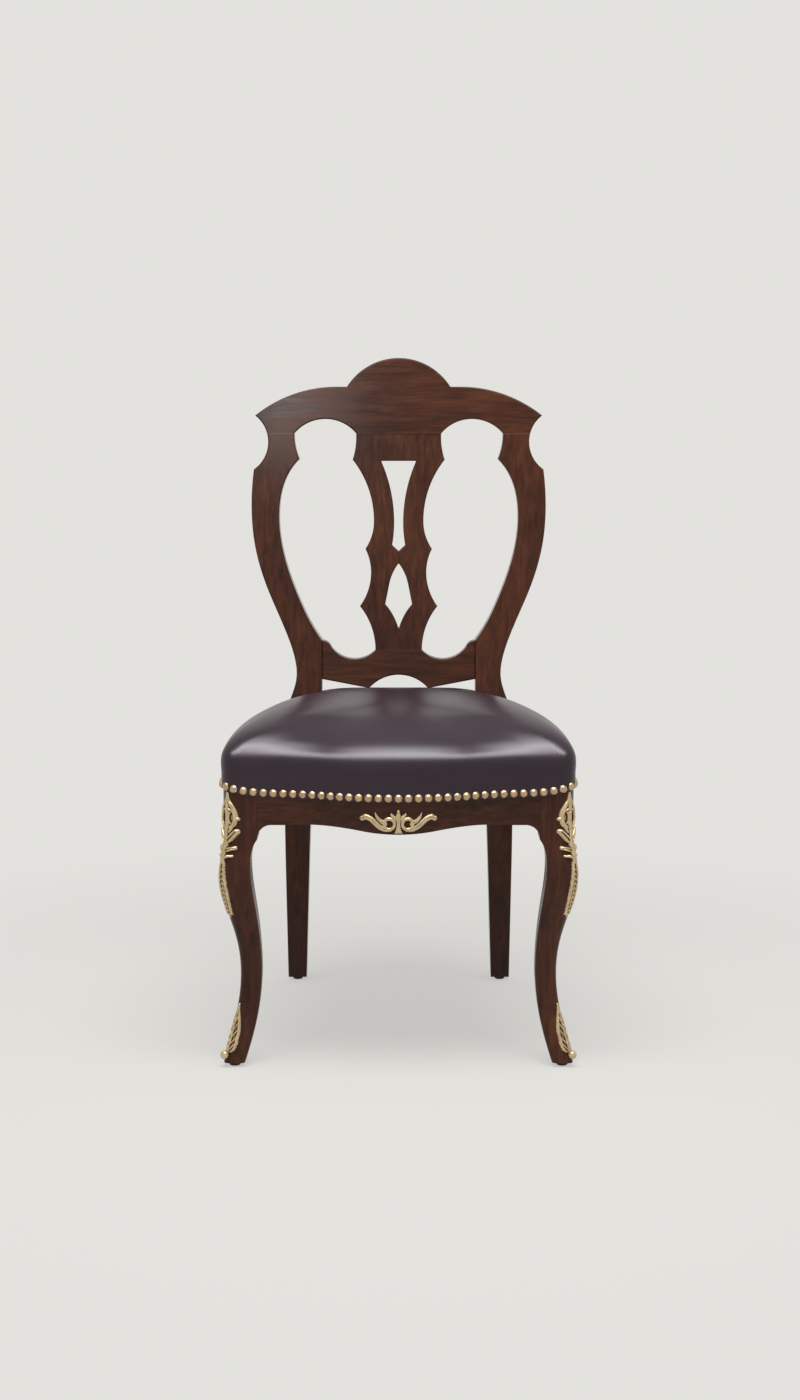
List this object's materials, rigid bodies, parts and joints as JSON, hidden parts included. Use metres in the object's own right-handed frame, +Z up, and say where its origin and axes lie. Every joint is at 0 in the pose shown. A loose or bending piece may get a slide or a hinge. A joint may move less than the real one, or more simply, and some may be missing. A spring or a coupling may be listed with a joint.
{
  "type": "side chair",
  "caption": "Upright wooden side chair with cabriole front legs, a pierced back splat, a stuffed leather seat edged with domed nails, and gilt mounts.",
  "frame": {"origin": "on the floor, under the middle of the chair's bounding box", "axes": "+Z up; the chair faces -Y; +X to the right of someone standing in front of it"},
  "size_m": [0.5028, 0.5712, 1],
  "materials": {
    "mahogany": "polished",
    "beech": "sawn",
    "aubergine_leather": "satin",
    "nail_brass": "antique",
    "gilt_bronze": "gilded",
    "steel": "plain",
    "jute": "woven",
    "stuffing": "fibrous",
    "glide": "matte"
  },
  "bodies": {
    "root": {"crest_rail": "mahogany", "back_splat": "mahogany", "lower_back_rail": "mahogany", "right_rear_post": "mahogany", "left_rear_post": "mahogany", "right_front_leg": "mahogany", "left_front_leg": "mahogany", "front_rail": "mahogany", "right_side_rail": "mahogany", "left_side_rail": "mahogany", "rear_rail": "mahogany", "crest_dowels": "beech", "right_front_block": "beech", "left_front_block": "beech", "right_rear_block": "beech", "left_rear_block": "beech", "block_bolts": "steel", "block_washers": "steel", "block_nuts": "steel", "lengthwise_webbing": "jute", "cross_webbing": "jute", "seat_burlap": "jute", "seat_pad": "stuffing", "seat_leather": "aubergine_leather", "front_nails": "nail_brass", "left_nails": "nail_brass", "right_nails": "nail_brass", "rear_nails": "nail_brass", "right_knee_mount": "gilt_bronze", "left_knee_mount": "gilt_bronze", "right_sabot": "gilt_bronze", "left_sabot": "gilt_bronze", "apron_mount": "gilt_bronze", "mount_pins": "gilt_bronze", "right_front_glide": "glide", "left_front_glide": "glide", "right_rear_glide": "glide", "left_rear_glide": "glide"}
  },
  "joints": []
}
